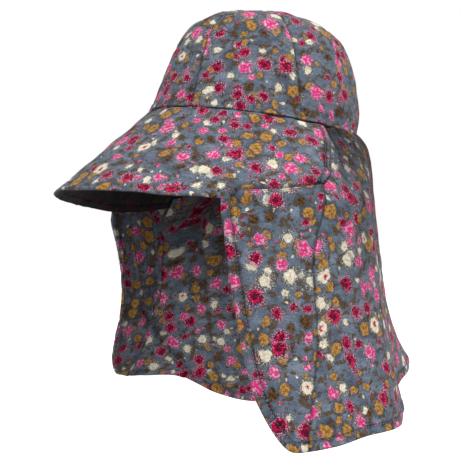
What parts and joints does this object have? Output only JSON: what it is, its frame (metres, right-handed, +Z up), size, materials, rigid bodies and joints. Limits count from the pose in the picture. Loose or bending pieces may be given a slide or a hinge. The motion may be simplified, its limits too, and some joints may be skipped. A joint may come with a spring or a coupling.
{
  "type": "sun cap with neck flap",
  "caption": "Soft cotton sun cap with a sewn gore crown, a wide sloping brim and a long neck flap that hangs to the shoulders.",
  "frame": {"origin": "middle of the head opening, level with the seam between crown and brim", "axes": "+Z up through the top of the crown, -Y towards the front of the brim, +X towards the wearer's left"},
  "size_m": [0.3822, 0.3624, 0.3863],
  "materials": {
    "crown_cloth": "matt woven cotton printed all over with small flowers",
    "brim_cloth": "matt woven cotton printed all over with small flowers",
    "flap_cloth": "matt woven cotton printed all over with small flowers"
  },
  "bodies": {
    "root": {"crown_front": "crown_cloth", "crown_front_left": "crown_cloth", "crown_back_left": "crown_cloth", "crown_back": "crown_cloth", "crown_back_right": "crown_cloth", "crown_front_right": "crown_cloth", "brim": "brim_cloth", "flap_left": "flap_cloth", "flap_right": "flap_cloth", "flap_back": "flap_cloth"}
  },
  "joints": []
}
